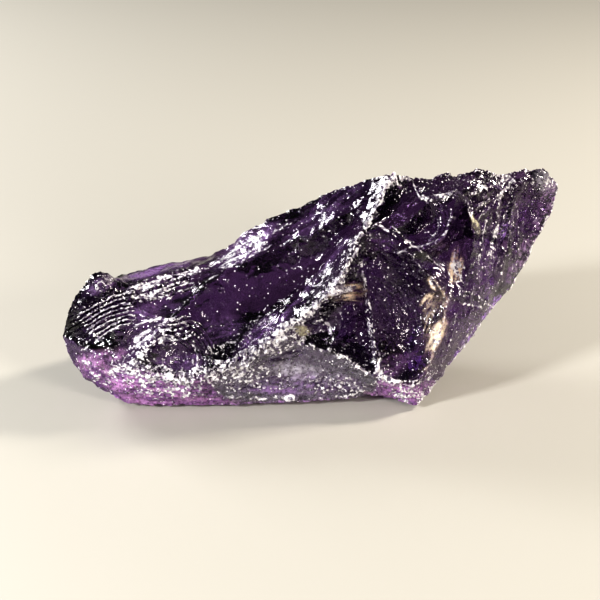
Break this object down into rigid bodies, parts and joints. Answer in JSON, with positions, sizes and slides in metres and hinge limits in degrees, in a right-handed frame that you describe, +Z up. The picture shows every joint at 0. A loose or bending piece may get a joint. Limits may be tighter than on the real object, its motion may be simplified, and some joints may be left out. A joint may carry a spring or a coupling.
{
  "type": "rough amethyst stone",
  "caption": "Rough broken piece of clear purple quartz with a bright frosted crest, dished fracture faces, a thin overhanging tip and a flat underside to rest on.",
  "frame": {"origin": "middle of the bounding box's bottom, on the flat underside", "axes": "+X along the stone towards its overhanging tip, +Y from the ridged front to the back, +Z up"},
  "size_m": [0.045, 0.0194, 0.0197],
  "materials": {
    "quartz": "clear deep purple quartz, glossy fracture faces, frosted white ridges"
  },
  "bodies": {
    "root": {"amethyst": "quartz"}
  },
  "joints": []
}
